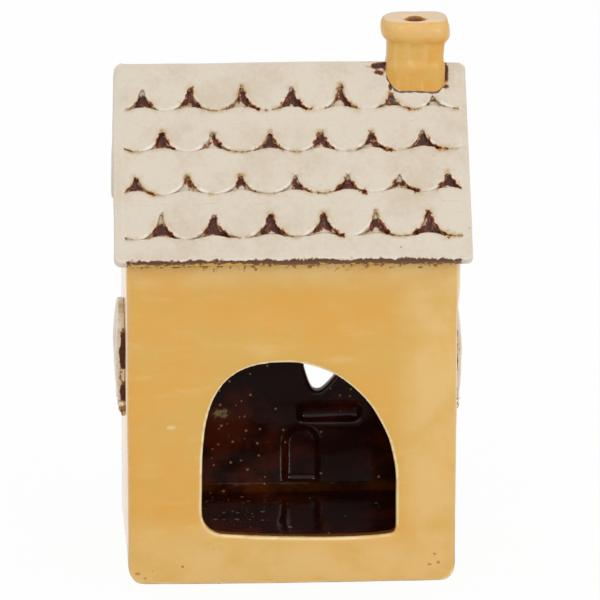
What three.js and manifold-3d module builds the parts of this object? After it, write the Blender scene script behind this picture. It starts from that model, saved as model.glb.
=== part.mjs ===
// A tealight house in glazed stoneware, built from clay slabs that are luted together and fired.
// Millimetres, +Z up, the origin on the table under the middle of the house.
// The arched mouth, where the tealight goes in, faces -Y. The street side, with the door, faces +Y.
// Left and right are as seen from the arched side, with +X to the right.

import * as THREE from "three";
import { mergeVertices } from "three/addons/utils/BufferGeometryUtils.js";
import Module from "manifold-3d";

const wasm = await Module();
wasm.setup();

// Body
const bodyWidth = 104;
const bodyDepth = 70;
const wallThickness = 5;
const eaveHeight = 108.1; // where the roof's underside meets the outer wall faces
const bodyCornerRadius = 2.2; // upright outer corners
const footCornerRadius = 5.2; // gable walls' outer edges at the table
const footEdgeRadius = 0.8; // the other two walls' edges there
const floorThickness = 5.5;
const floorRecess = 5; // the floor's underside above the table

// Roof
const roofPitch = 52.4; // degrees
const roofThickness = 2.9; // under the tiles
const rimHeight = 1.5; // the plain border stands this far above the bed of the tiles
const rimWidth = 3.6; // plain border along each verge
const eaveBandWidth = 7.7; // plain band below the last course
const eaveOverhang = 3; // of the underside, past the wall
const gableOverhang = 4.2;
const lutingGap = 0.3; // between pieces that lie on the slope

// Tile courses, from the ridge down to the eave. The first one takes what the others leave.
const tileExposure = 14.5;
const tileThickness = 1.5; // at the scalloped edge
const tileFeather = 0.6; // at the upper edge of a course
const ridgeTileThickness = 1.2; // upper edge of the first course, at the ridge
const scallopDepth = 7.8;
const notchWidth = 0.9; // flat top of the notch between two tiles
const scallopSteps = 12;
const courses = [
  { firstNotch: -46.1, tileWidth: 15.6 },
  { firstNotch: -39.9, tileWidth: 16.8 },
  { firstNotch: -48.2, tileWidth: 16.4 },
  { firstNotch: -41.1, tileWidth: 16.7 },
];

// Arched mouth, cut by hand and not quite even
const mouth = {
  left: -28.6,
  right: 32.9,
  crown: 72.3,
  leftSpring: 30, // the left side leans in from this height on
  leftStiffness: 30.5, // how far it keeps its direction before it bends over
  crownStiffness: 22, // and the same for the crown, to the left of crownX
  crownX: -2,
  rightShoulderHeight: 40,
  leftFootRadius: 6.4,
  rightFootRadius: 1.6,
  sillLeft: 16.6,
  sillRight: 15.8,
  sillPull: { x: 13, z: 13.9 }, // the sill sags towards this point
};

// Chimney
const chimney = {
  x: 40.3,
  width: 17.6,
  depth: 12.6,
  leftCornerRadius: 5,
  rightCornerRadius: 2.6,
  rise: 14.8, // above the ridge
  capHeight: 7,
  capOverhang: 2,
  baseFlare: 0.7,
  flueDiameter: 7.1,
};

// Arched windows: a frame that stands on the wall, with a transom and a mullion, over a sill or a planted
// box. Only the upper windows are open.
const gableWindow = { width: 22, height: 31.2, foot: 53.6, bar: 3.2, transom: 14.5, relief: 3.2 };
const gableBox = { width: 24, height: 4.6, depth: 2.7 };
const streetWindow = { width: 19, height: 27, foot: 24, bar: 2.6, transom: 14, relief: 2.6 };
const streetBox = { width: 22, height: 5, depth: 4 };
const upperWindow = { width: 19, height: 27, foot: 70, bar: 2.6, transom: 14, relief: 2.6 };
const upperSill = { width: 23, height: 2.8, depth: 4.4 };
const glazingBar = 2.2;
const streetWindowX = -24;
const upperWindowX = 24;

// Heart-shaped light hole, cut a little askew, over a planted box of its own
const heart = { x: 11, tip: 44, width: 13, height: 14.2, lean: 11 };
const heartBox = { x: 15.2, foot: 34.5, width: 20, height: 4.6, depth: 3.6 };

// Door at the top of its steps
const door = { x: 5.9, foot: 14, width: 11, height: 18.6, relief: 1.3 };
const doorSurround = { bar: 1.9, relief: 2.8 };
const doorSteps = { count: 3, width: 15.5, depth: 5.4 };
const doorKnobRadius = 1;
const doorPlankGroove = 0.6;
const doorPlanks = 4;

// The door and the heart's box were pressed out from inside, and leave hollows this deep there.
const pressedDepth = 1.6;

const pitchAngle = THREE.MathUtils.degToRad(roofPitch);
const slopeCos = Math.cos(pitchAngle);
const slopeSin = Math.sin(pitchAngle);
const slopeTan = Math.tan(pitchAngle);
const halfWidth = bodyWidth / 2;
const halfDepth = bodyDepth / 2;
const innerHalfWidth = halfWidth - wallThickness;
const innerHalfDepth = halfDepth - wallThickness;
const roofHalfWidth = halfWidth + gableOverhang;
const undersideRidge = eaveHeight + halfDepth * slopeTan; // the undersides of both slopes meet here
const slopeLength = (halfDepth + eaveOverhang) / slopeCos; // along the underside
const tileBed = roofThickness + lutingGap; // the courses lie at this height above the underside
const far = 4 * (bodyWidth + bodyDepth + eaveHeight); // beyond every piece

const glaze = {
  yellow: new THREE.MeshStandardMaterial({ color: 0xdcab4f, roughness: 0.35, metalness: 0 }),
  cream: new THREE.MeshStandardMaterial({ color: 0xdccdb8, roughness: 0.4, metalness: 0 }),
  brown: new THREE.MeshStandardMaterial({ color: 0x2a1208, roughness: 0.15, metalness: 0 }),
  wood: new THREE.MeshStandardMaterial({ color: 0x7a4a22, roughness: 0.4, metalness: 0 }),
};

const house = new THREE.Group();

// Helpers

function place(name, geometry, material, parent = house) {
  const mesh = new THREE.Mesh(geometry, material);
  mesh.name = name;
  parent.add(mesh);
  return mesh;
}

function toSolid(geometry) {
  const bare = geometry.clone();
  bare.deleteAttribute("normal");
  bare.deleteAttribute("uv");
  const merged = mergeVertices(bare, 1e-4);
  return new wasm.Manifold(
    new wasm.Mesh({
      numProp: 3,
      vertProperties: new Float32Array(merged.attributes.position.array),
      triVerts: new Uint32Array(merged.index.array),
    }),
  );
}

function toGeometry(solid) {
  const mesh = solid.getMesh();
  const geometry = new THREE.BufferGeometry();
  geometry.setAttribute("position", new THREE.BufferAttribute(mesh.vertProperties, 3));
  geometry.setIndex(new THREE.BufferAttribute(mesh.triVerts, 1));
  const faceted = geometry.toNonIndexed();
  faceted.computeVertexNormals();
  return faceted;
}

// An outline in X and Z, extruded from y = from to y = to.
function extrudeAcrossY(outline, from, to, curveSegments = 10) {
  const basis = new THREE.Matrix4().makeBasis(
    new THREE.Vector3(1, 0, 0),
    new THREE.Vector3(0, 0, 1),
    new THREE.Vector3(0, -1, 0),
  );
  return new THREE.ExtrudeGeometry(outline, { depth: to - from, bevelEnabled: false, curveSegments })
    .applyMatrix4(basis)
    .translate(0, to, 0);
}

// An outline in Y and Z, extruded from x = from to x = to.
function extrudeAcrossX(outline, from, to, curveSegments = 10) {
  const basis = new THREE.Matrix4().makeBasis(
    new THREE.Vector3(0, 1, 0),
    new THREE.Vector3(0, 0, 1),
    new THREE.Vector3(1, 0, 0),
  );
  return new THREE.ExtrudeGeometry(outline, { depth: to - from, bevelEnabled: false, curveSegments })
    .applyMatrix4(basis)
    .translate(from, 0, 0);
}

function box(x0, x1, y0, y1, z0, z1) {
  return new THREE.BoxGeometry(x1 - x0, y1 - y0, z1 - z0).translate(
    (x0 + x1) / 2,
    (y0 + y1) / 2,
    (z0 + z1) / 2,
  );
}

function polygon(points) {
  return new THREE.Shape(points.map(([x, y]) => new THREE.Vector2(x, y)));
}

// A rectangle standing on y = foot.
function rectangle(middle, foot, width, height) {
  const left = middle - width / 2;
  const right = middle + width / 2;
  return polygon([[left, foot], [right, foot], [right, foot + height], [left, foot + height]]);
}

// A rectangle with its own radius at each corner, from the lower left one round to the upper left one.
function roundedRectangle(x0, y0, x1, y1, [lowerLeft, lowerRight, upperRight, upperLeft]) {
  const shape = new THREE.Shape();
  shape.moveTo(x0 + lowerLeft, y0);
  shape.lineTo(x1 - lowerRight, y0);
  if (lowerRight) shape.absarc(x1 - lowerRight, y0 + lowerRight, lowerRight, -Math.PI / 2, 0);
  shape.lineTo(x1, y1 - upperRight);
  if (upperRight) shape.absarc(x1 - upperRight, y1 - upperRight, upperRight, 0, Math.PI / 2);
  shape.lineTo(x0 + upperLeft, y1);
  if (upperLeft) shape.absarc(x0 + upperLeft, y1 - upperLeft, upperLeft, Math.PI / 2, Math.PI);
  shape.lineTo(x0, y0 + lowerLeft);
  if (lowerLeft) shape.absarc(x0 + lowerLeft, y0 + lowerLeft, lowerLeft, Math.PI, 1.5 * Math.PI);
  return shape;
}

// Body: four walls and a floor

function bodyEnvelope() {
  const foot = footCornerRadius;
  const edge = footEdgeRadius;
  const corner = bodyCornerRadius;
  const fromArchSide = extrudeAcrossY(
    roundedRectangle(-halfWidth, 0, halfWidth, far, [foot, foot, 0, 0]),
    -far,
    far,
    5,
  );
  const fromGable = extrudeAcrossX(
    roundedRectangle(-halfDepth, 0, halfDepth, far, [edge, edge, 0, 0]),
    -far,
    far,
    5,
  );
  const fromAbove = new THREE.ExtrudeGeometry(
    roundedRectangle(-halfWidth, -halfDepth, halfWidth, halfDepth, [corner, corner, corner, corner]),
    { depth: 2 * far, bevelEnabled: false, curveSegments: 5 },
  ).translate(0, 0, -far);
  return toSolid(fromArchSide).intersect(toSolid(fromGable)).intersect(toSolid(fromAbove));
}

// Everything below a pair of slopes whose ridge is at the given height.
function spaceUnderSlopes(ridge, angle = pitchAngle) {
  const eave = ridge - far * Math.tan(angle);
  const outline = polygon([[-far, eave], [-far, eave - far], [far, eave - far], [far, eave], [0, ridge]]);
  return toSolid(extrudeAcrossX(outline, -far, far));
}

function mouthOutline() {
  const m = mouth;
  const leftFoot = m.leftFootRadius;
  const rightFoot = m.rightFootRadius;
  const shape = new THREE.Shape();
  shape.moveTo(m.left + leftFoot, m.sillLeft);
  shape.quadraticCurveTo(m.sillPull.x, m.sillPull.z, m.right - rightFoot, m.sillRight);
  shape.absarc(m.right - rightFoot, m.sillRight + rightFoot, rightFoot, -Math.PI / 2, 0);
  shape.absellipse(
    m.crownX,
    m.crown - m.rightShoulderHeight,
    m.right - m.crownX,
    m.rightShoulderHeight,
    0,
    Math.PI / 2,
  );
  shape.bezierCurveTo(
    m.crownX - m.crownStiffness,
    m.crown,
    m.left,
    m.leftSpring + m.leftStiffness,
    m.left,
    m.leftSpring,
  );
  shape.absarc(m.left + leftFoot, m.sillLeft + leftFoot, leftFoot, Math.PI, 1.5 * Math.PI);
  return shape;
}

function heartOutline() {
  const { x, tip, width: w, height: h } = heart;
  const lean = THREE.MathUtils.degToRad(heart.lean);
  const shape = new THREE.Shape();
  const at = (across, up) => [
    x + across * w * Math.cos(lean) + up * h * Math.sin(lean),
    tip + up * h * Math.cos(lean) - across * w * Math.sin(lean),
  ];
  shape.moveTo(...at(0, 0));
  shape.bezierCurveTo(...at(0.15, 0), ...at(0.3, 0.3), ...at(0.44, 0.58));
  shape.bezierCurveTo(...at(0.52, 0.74), ...at(0.5, 1), ...at(0.27, 1));
  shape.bezierCurveTo(...at(0.12, 1), ...at(0.03, 0.93), ...at(0, 0.82));
  shape.bezierCurveTo(...at(-0.03, 0.93), ...at(-0.12, 1), ...at(-0.27, 1));
  shape.bezierCurveTo(...at(-0.5, 1), ...at(-0.52, 0.74), ...at(-0.44, 0.58));
  shape.bezierCurveTo(...at(-0.3, 0.3), ...at(-0.15, 0), ...at(0, 0));
  return shape;
}

// A rectangle with a half-round head, standing on y = foot.
function archedOutline(middle, foot, width, height) {
  const shape = new THREE.Shape();
  const radius = width / 2;
  shape.moveTo(middle - radius, foot);
  shape.lineTo(middle + radius, foot);
  shape.lineTo(middle + radius, foot + height - radius);
  shape.absarc(middle, foot + height - radius, radius, 0, Math.PI);
  shape.lineTo(middle - radius, foot);
  return shape;
}

// A hole through the back wall or the front wall.
function holeThrough(outline, side, curveSegments) {
  const middle = side * (halfDepth - wallThickness / 2);
  return toSolid(extrudeAcrossY(outline, middle - wallThickness, middle + wallThickness, curveSegments));
}

function addBody() {
  const body = bodyEnvelope().intersect(spaceUnderSlopes(undersideRidge - lutingGap / slopeCos));
  const wall = (x0, x1, y0, y1) => toSolid(box(x0, x1, y0, y1, 0, far)).intersect(body);

  const backWall = wall(-halfWidth, halfWidth, -halfDepth, -innerHalfDepth);
  place("back_wall", toGeometry(backWall.subtract(holeThrough(mouthOutline(), -1, 14))), glaze.yellow);

  let frontWall = wall(-halfWidth, halfWidth, innerHalfDepth, halfDepth);
  frontWall = frontWall.subtract(holeThrough(heartOutline(), 1, 4));
  for (const side of [-1, 1]) {
    const { foot, bar, width, height } = upperWindow;
    const light = archedOutline(side * upperWindowX, foot + bar, width - 2 * bar, height - 2 * bar);
    frontWall = frontWall.subtract(holeThrough(light, 1, 8));
  }
  const pressed = [
    archedOutline(door.x, door.foot, door.width, door.height),
    rectangle(heartBox.x, heartBox.foot, heartBox.width, heartBox.height),
  ];
  for (const outline of pressed) {
    const hollow = extrudeAcrossY(outline, innerHalfDepth - pressedDepth, innerHalfDepth + pressedDepth, 8);
    frontWall = frontWall.subtract(toSolid(hollow));
  }
  place("front_wall", toGeometry(frontWall), glaze.yellow);

  const leftWall = wall(-halfWidth, -innerHalfWidth, -innerHalfDepth, innerHalfDepth);
  place("left_gable_wall", toGeometry(leftWall), glaze.yellow);
  const rightWall = wall(innerHalfWidth, halfWidth, -innerHalfDepth, innerHalfDepth);
  place("right_gable_wall", toGeometry(rightWall), glaze.yellow);

  const floorTop = floorRecess + floorThickness;
  const floor = box(-innerHalfWidth, innerHalfWidth, -innerHalfDepth, innerHalfDepth, floorRecess, floorTop);
  place("floor_slab", floor, glaze.brown);
}

// Roof. In a slope's group x runs along the ridge, y up the slope and z out of it, and the origin is on the
// underside at the ridge.

function slopeGroup(facing) {
  const turned = new THREE.Group();
  turned.rotation.z = facing < 0 ? 0 : Math.PI;
  turned.position.z = undersideRidge;
  const slope = new THREE.Group();
  slope.rotation.x = pitchAngle;
  turned.add(slope);
  house.add(turned);
  return slope;
}

// y of the seam between the two slopes, at a height above the underside.
function ridgeSeam(height) {
  return (height * slopeSin - lutingGap / 2) / slopeCos;
}

function flueInSlope(facing) {
  const radius = chimney.flueDiameter / 2;
  const bore = new THREE.CylinderGeometry(radius, radius, 8 * chimney.capHeight, 20).rotateX(Math.PI / 2);
  return toSolid(bore.rotateX(-pitchAngle).translate(-facing * chimney.x, 0, 0));
}

function roofSlab(facing) {
  const height = roofThickness + rimHeight;
  const section = polygon([
    [-slopeLength, 0],
    [ridgeSeam(0), 0],
    [ridgeSeam(height), height],
    [-slopeLength, height],
  ]);
  const blank = toSolid(extrudeAcrossX(section, -roofHalfWidth, roofHalfWidth));
  const bed = box(
    -roofHalfWidth + rimWidth,
    roofHalfWidth - rimWidth,
    -slopeLength + eaveBandWidth,
    far,
    roofThickness,
    far,
  );
  return toGeometry(blank.subtract(toSolid(bed)).subtract(flueInSlope(facing)));
}

// The scalloped lower edge of a course, from left to right: a notch between each two tiles.
function scallopedEdge({ firstNotch, tileWidth }, halfLength, bottom) {
  const radius = (tileWidth - notchWidth) / 2;
  const before = Math.ceil((firstNotch + halfLength) / tileWidth);
  const points = [];
  for (let left = firstNotch - before * tileWidth; left < halfLength; left += tileWidth) {
    for (let i = 0; i <= scallopSteps; i++) {
      const turn = (Math.PI * i) / scallopSteps;
      const x = left + tileWidth / 2 - radius * Math.cos(turn);
      if (Math.abs(x) < halfLength) points.push([x, bottom + scallopDepth * (1 - Math.sin(turn))]);
    }
  }
  return points;
}

function tileCourse(index, facing) {
  const halfLength = roofHalfWidth - rimWidth - lutingGap;
  const lastBottom = -slopeLength + eaveBandWidth + lutingGap;
  const bottom = lastBottom + (courses.length - 1 - index) * tileExposure;
  const top = index === 0 ? ridgeSeam(tileBed) : bottom + tileExposure - lutingGap;
  const edge = scallopedEdge(courses[index], halfLength, bottom);
  const first = [-halfLength, edge[0][1]];
  const last = [halfLength, edge[edge.length - 1][1]];
  const outline = polygon([first, ...edge, last, [halfLength, top], [-halfLength, top]]);
  const plate = new THREE.ExtrudeGeometry(outline, { depth: tileThickness, bevelEnabled: false });
  const upperThickness = index === 0 ? ridgeTileThickness : tileFeather;
  const position = plate.attributes.position;
  for (let i = 0; i < position.count; i++) {
    if (position.getZ(i) < tileThickness / 2) continue;
    const share = (position.getY(i) - bottom) / (top - bottom);
    const thickness = THREE.MathUtils.lerp(tileThickness, upperThickness, share);
    position.setZ(i, thickness);
    if (index === 0 && top - position.getY(i) < 1e-3) position.setY(i, ridgeSeam(tileBed + thickness));
  }
  plate.translate(0, 0, tileBed);
  if (index > 0) return plate;
  return toGeometry(toSolid(plate).subtract(flueInSlope(facing)));
}

function addRoof() {
  for (const [side, facing] of [["back", -1], ["front", 1]]) {
    const slope = slopeGroup(facing);
    place(`${side}_roof_slab`, roofSlab(facing), glaze.cream, slope);
    courses.forEach((_, index) => {
      place(`${side}_tile_course_${index + 1}`, tileCourse(index, facing), glaze.cream, slope);
    });
  }
}

// Chimney: rings from the foot up the outside, over the cap and down the flue

const chimneyRingPoints = 40;

function chimneyRing(grow, z) {
  const { width, depth, leftCornerRadius, rightCornerRadius } = chimney;
  const left = leftCornerRadius + grow;
  const right = rightCornerRadius + grow;
  const x = width / 2 + grow;
  const y = depth / 2 + grow;
  const outline = roundedRectangle(-x, -y, x, y, [left, right, right, left]);
  const points = outline.getSpacedPoints(chimneyRingPoints).slice(0, chimneyRingPoints);
  return points.map((p) => new THREE.Vector3(p.x, p.y, z));
}

function flueRing(radius, z) {
  const [start] = chimneyRing(0, z);
  const startTurn = Math.atan2(start.y, start.x);
  return Array.from({ length: chimneyRingPoints }, (_, i) => {
    const turn = startTurn + (2 * Math.PI * i) / chimneyRingPoints;
    return new THREE.Vector3(radius * Math.cos(turn), radius * Math.sin(turn), z);
  });
}

function chimneySolid() {
  const { rise, capHeight: cap, capOverhang: out, baseFlare, flueDiameter } = chimney;
  const foot = undersideRidge - chimney.depth * slopeTan;
  const shaftFoot = undersideRidge + (roofThickness + rimHeight) / slopeCos;
  const height = shaftFoot + rise;
  const rings = [
    chimneyRing(baseFlare, foot),
    chimneyRing(baseFlare, shaftFoot - 1),
    chimneyRing(0.15 * baseFlare, shaftFoot + 1.6),
    chimneyRing(0, height - cap - 1),
    chimneyRing(0.25 * out, height - cap - 0.2),
    chimneyRing(0.75 * out, height - 0.88 * cap),
    chimneyRing(out, height - 0.66 * cap),
    chimneyRing(out, height - 0.34 * cap),
    chimneyRing(0.7 * out, height - 0.12 * cap),
    chimneyRing(0.1 * out, height - 0.02 * cap),
    chimneyRing(-0.6 * out, height),
    flueRing(0.62 * flueDiameter, height),
    flueRing(0.52 * flueDiameter, height - 0.6),
    flueRing(0.5 * flueDiameter, height - 1.6),
    flueRing(0.5 * flueDiameter, foot),
  ];
  const around = chimneyRingPoints;
  const index = [];
  for (let r = 0; r < rings.length; r++) {
    const next = (r + 1) % rings.length;
    for (let i = 0; i < around; i++) {
      const j = (i + 1) % around;
      const corners = [r * around + i, r * around + j, next * around + j, next * around + i];
      index.push(corners[0], corners[1], corners[2], corners[0], corners[2], corners[3]);
    }
  }
  const geometry = new THREE.BufferGeometry().setFromPoints(rings.flat());
  geometry.setIndex(index);
  return toSolid(geometry.translate(chimney.x, 0, 0));
}

// The chimney stands on the first courses of both slopes, which thicken towards the eave.
function addChimney() {
  const firstLength = slopeLength - eaveBandWidth - (courses.length - 1) * tileExposure + ridgeSeam(tileBed);
  const thickening = Math.atan((tileThickness - ridgeTileThickness) / firstLength);
  const ridge = undersideRidge + (tileBed + ridgeTileThickness + lutingGap) / slopeCos;
  const stack = chimneySolid().subtract(spaceUnderSlopes(ridge, pitchAngle - thickening));
  place("chimney", toGeometry(stack), glaze.yellow);
}

// Windows

// The outlines of the four panes of an arched window.
function panes(middle, w) {
  const glassHalf = w.width / 2 - w.bar;
  const springing = w.foot + w.height - w.width / 2;
  const low = w.foot + w.bar;
  const bar = glazingBar / 2;
  const transom = w.foot + w.transom;
  const meets = Math.acos(bar / glassHalf); // where the mullion meets the head
  const outlines = [];
  for (const side of [-1, 1]) {
    const inner = middle + side * bar;
    const outer = middle + side * glassHalf;
    outlines.push(polygon([[inner, low], [outer, low], [outer, transom - bar], [inner, transom - bar]]));
    const upper = polygon([[inner, transom + bar], [outer, transom + bar]]);
    if (side > 0) upper.absarc(middle, springing, glassHalf, 0, meets, false);
    else upper.absarc(middle, springing, glassHalf, Math.PI, Math.PI - meets, true);
    outlines.push(upper);
  }
  return outlines;
}

// The frame as a solid, with extrude as the function that turns an outline into a plate.
function windowFrame(middle, w, extrude) {
  let frame = toSolid(extrude(archedOutline(middle, w.foot, w.width, w.height), 0, w.relief, 8));
  for (const pane of panes(middle, w)) frame = frame.subtract(toSolid(extrude(pane, -1, w.relief + 1, 8)));
  return toGeometry(frame);
}

// A sill or a planted box on the street side, under y = top.
function shelf(middle, top, { width, height, depth }) {
  return extrudeAcrossY(rectangle(middle, top - height, width, height), halfDepth, halfDepth + depth);
}

function addWindows() {
  for (const [name, side] of [["left", -1], ["right", 1]]) {
    const { foot, relief } = gableWindow;
    const { width, height, depth } = gableBox;
    const frameFace = side < 0 ? -halfWidth - relief : halfWidth;
    const boxFace = side < 0 ? -halfWidth - depth : halfWidth;
    const frame = windowFrame(0, gableWindow, extrudeAcrossX).translate(frameFace, 0, 0);
    place(`${name}_window_frame`, frame, glaze.cream);
    const planter = extrudeAcrossX(rectangle(0, foot - height, width, height), boxFace, boxFace + depth);
    place(`${name}_window_box`, planter, glaze.cream);
  }
  const street = windowFrame(streetWindowX, streetWindow, extrudeAcrossY).translate(0, halfDepth, 0);
  place("street_window_frame", street, glaze.cream);
  place("street_window_box", shelf(streetWindowX, streetWindow.foot, streetBox), glaze.cream);
  for (const [name, x] of [["left", -upperWindowX], ["right", upperWindowX]]) {
    const frame = windowFrame(x, upperWindow, extrudeAcrossY).translate(0, halfDepth, 0);
    place(`upper_${name}_window_frame`, frame, glaze.cream);
    place(`upper_${name}_window_sill`, shelf(x, upperWindow.foot, upperSill), glaze.cream);
  }
  place("heart_box", shelf(heartBox.x, heartBox.foot + heartBox.height, heartBox), glaze.cream);
}

// Door

function addDoor() {
  const { x, foot, width, height, relief } = door;
  const { bar } = doorSurround;
  const face = halfDepth + relief;

  let leaf = toSolid(extrudeAcrossY(archedOutline(x, foot, width, height), halfDepth, face, 8));
  for (let k = 1; k < doorPlanks; k++) {
    const groove = x - width / 2 + (k * width) / doorPlanks;
    const half = doorPlankGroove / 2;
    leaf = leaf.subtract(toSolid(box(groove - half, groove + half, halfDepth + relief / 2, far, -far, far)));
  }
  place("door_leaf", toGeometry(leaf), glaze.wood);

  const surround = archedOutline(x, foot, width + 2 * bar, height + bar);
  const inside = archedOutline(x, foot - bar, width, height + bar);
  const surroundSolid = toSolid(extrudeAcrossY(surround, halfDepth, halfDepth + doorSurround.relief, 8));
  const doorway = toSolid(extrudeAcrossY(inside, halfDepth - bar, halfDepth + 2 * doorSurround.relief, 8));
  place("door_surround", toGeometry(surroundSolid.subtract(doorway)), glaze.cream);

  const knobX = x - width / 2 + (1.5 * width) / doorPlanks;
  const ball = new THREE.SphereGeometry(doorKnobRadius, 12, 8).translate(knobX, face, foot + height / 2);
  const knob = toSolid(ball).subtract(toSolid(box(-far, far, -far, face, -far, far)));
  place("door_knob", toGeometry(knob), glaze.brown);

  const { count, width: stepWidth, depth } = doorSteps;
  const profile = [[halfDepth, 0]];
  for (let k = 0; k < count; k++) {
    const nose = halfDepth + (depth * (count - k)) / count;
    profile.push([nose, (foot * k) / count], [nose, (foot * (k + 1)) / count]);
  }
  profile.push([halfDepth, foot]);
  place("door_steps", extrudeAcrossX(polygon(profile), x - stepWidth / 2, x + stepWidth / 2), glaze.cream);
}

addBody();
addRoof();
addChimney();
addWindows();
addDoor();

export default house;
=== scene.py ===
import math

import bmesh
import bpy
import numpy as np
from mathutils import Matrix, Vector


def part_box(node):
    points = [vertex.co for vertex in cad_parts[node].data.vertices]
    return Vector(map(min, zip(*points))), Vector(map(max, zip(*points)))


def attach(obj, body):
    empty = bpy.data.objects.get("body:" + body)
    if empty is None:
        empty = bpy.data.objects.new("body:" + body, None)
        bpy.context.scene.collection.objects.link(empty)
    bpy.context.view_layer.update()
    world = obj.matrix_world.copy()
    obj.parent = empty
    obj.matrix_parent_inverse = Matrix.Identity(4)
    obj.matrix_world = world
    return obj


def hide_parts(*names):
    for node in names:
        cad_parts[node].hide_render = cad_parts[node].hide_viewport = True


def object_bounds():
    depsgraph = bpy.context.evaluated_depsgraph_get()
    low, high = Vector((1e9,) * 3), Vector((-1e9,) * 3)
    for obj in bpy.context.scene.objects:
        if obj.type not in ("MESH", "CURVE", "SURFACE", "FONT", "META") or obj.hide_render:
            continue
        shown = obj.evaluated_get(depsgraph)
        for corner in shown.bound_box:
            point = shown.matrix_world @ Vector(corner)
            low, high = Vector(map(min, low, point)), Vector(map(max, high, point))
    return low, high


# A tealight house in glazed stoneware. Sizes are millimetres until a piece is finished.
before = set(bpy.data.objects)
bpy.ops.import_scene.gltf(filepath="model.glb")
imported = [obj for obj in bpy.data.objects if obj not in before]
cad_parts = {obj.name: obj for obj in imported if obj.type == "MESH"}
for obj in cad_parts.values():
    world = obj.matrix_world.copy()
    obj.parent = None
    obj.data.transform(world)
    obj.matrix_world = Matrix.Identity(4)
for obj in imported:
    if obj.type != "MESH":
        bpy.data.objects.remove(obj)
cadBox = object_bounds()
mm = 0.001
scene = bpy.context.scene
scene.view_settings.view_transform = "Standard"


def newObject(name, data):
    thing = bpy.data.objects.new(name, data)
    scene.collection.objects.link(thing)
    return thing


# Camera, at the photograph's angle

camera = {
    "focalPixels": 6509,    # of a picture 600 pixels wide
    "pictureWidth": 600,
    "sensor": 36,
    "distance": 2000,
    "height": 621.5,
    "side": 4.14,           # of the point it looks past, to the right of the middle
    "yaw": 2.789,
    "pitch": 15.064,
}


def addCamera():
    data = bpy.data.cameras.new("camera")
    data.sensor_width = camera["sensor"]
    data.sensor_fit = "HORIZONTAL"
    data.lens = camera["focalPixels"] * camera["sensor"] / camera["pictureWidth"]
    data.clip_end = 20
    eye = newObject("camera", data)
    yaw, pitch = math.radians(camera["yaw"]), math.radians(camera["pitch"])
    eye.location = Vector((
        camera["side"] - camera["distance"] * math.sin(yaw),
        -camera["distance"] * math.cos(yaw),
        camera["height"],
    )) * mm
    eye.rotation_euler = (math.pi / 2 - pitch, 0, -yaw)
    scene.camera = eye


addCamera()
print("camera set")


# Node helpers

def add(tree, kind, inputs=None, **settings):
    node = tree.nodes.new(kind)
    for name, value in settings.items():
        setattr(node, name, value)
    return feedAll(node, inputs or {})


def made(tree, kind, inputs=None, output=0, **settings):
    return Value(add(tree, kind, inputs, **settings).outputs[output])


def feed(socket, value):
    if isinstance(value, Value):
        value = value.socket
    if isinstance(value, bpy.types.NodeSocket):
        socket.id_data.links.new(value, socket)
    else:
        socket.default_value = value


def feedAll(node, inputs):
    for key, value in inputs.items():
        feed(node.inputs[key], value)
    return node


def operator(operation, swapped=False):
    def run(value, other=0.0):
        pair = (other, value) if swapped else (value, other)
        return made(value.tree, "ShaderNodeMath", dict(enumerate(pair)), operation=operation)
    return run


class Value:
    # a node's output, which works in plain arithmetic
    def __init__(self, socket):
        self.socket = socket
        self.tree = socket.id_data

    __add__ = operator("ADD")
    __radd__ = operator("ADD", True)
    __sub__ = operator("SUBTRACT")
    __rsub__ = operator("SUBTRACT", True)
    __mul__ = operator("MULTIPLY")
    __rmul__ = operator("MULTIPLY", True)
    __truediv__ = operator("DIVIDE")
    __rtruediv__ = operator("DIVIDE", True)
    __pow__ = operator("POWER")
    __abs__ = operator("ABSOLUTE")
    __lt__ = operator("LESS_THAN")
    __gt__ = operator("GREATER_THAN")
    atMost = operator("MINIMUM")
    atLeast = operator("MAXIMUM")


def ease(value, low, high, start=0.0, end=1.0):
    # a soft step from start to end while the value goes from low to high
    inputs = {"Value": value, "From Min": low, "From Max": high, "To Min": start, "To Max": end}
    return made(value.tree, "ShaderNodeMapRange", inputs, interpolation_type="SMOOTHSTEP")


def blendColour(factor, a, b):
    return made(factor.tree, "ShaderNodeMix", {0: factor, 6: a, 7: b}, 2, data_type="RGBA")


def blendValue(factor, a, b):
    return made(factor.tree, "ShaderNodeMix", {0: factor, 2: a, 3: b}, data_type="FLOAT")


def vectorMath(vector, operation, inputs):
    return made(vector.tree, "ShaderNodeVectorMath", {0: vector, **inputs}, operation=operation)


def valuesOf(node):
    return [Value(socket) for socket in node.outputs]


def coats(colour, *layers):
    # lays each colour over the last, where its mask says
    for mask, over in layers:
        colour = blendColour(mask, colour, over)
    return colour


def split(vector):
    return valuesOf(add(vector.tree, "ShaderNodeSeparateXYZ", {0: vector}))


def combine(*parts):
    return made(parts[0].tree, "ShaderNodeCombineXYZ", dict(enumerate(parts)))


def noise(place, size, detail=3.0, roughness=0.55, stretch=None):
    # values from 0 to 1 around 0.5, with bumps of about that size in mm
    if stretch:
        place = vectorMath(place, "MULTIPLY", {1: stretch})
    inputs = {"Vector": place, "Scale": 1 / size, "Detail": detail, "Roughness": roughness}
    return made(place.tree, "ShaderNodeTexNoise", inputs)


def attribute(place, name):
    return made(place.tree, "ShaderNodeAttribute", output="Fac", attribute_name=name)


def rgb(red, green, blue):
    def linear(value):
        value /= 255
        return value / 12.92 if value < 0.04045 else ((value + 0.055) / 1.055) ** 2.4
    return (linear(red), linear(green), linear(blue), 1)


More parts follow.
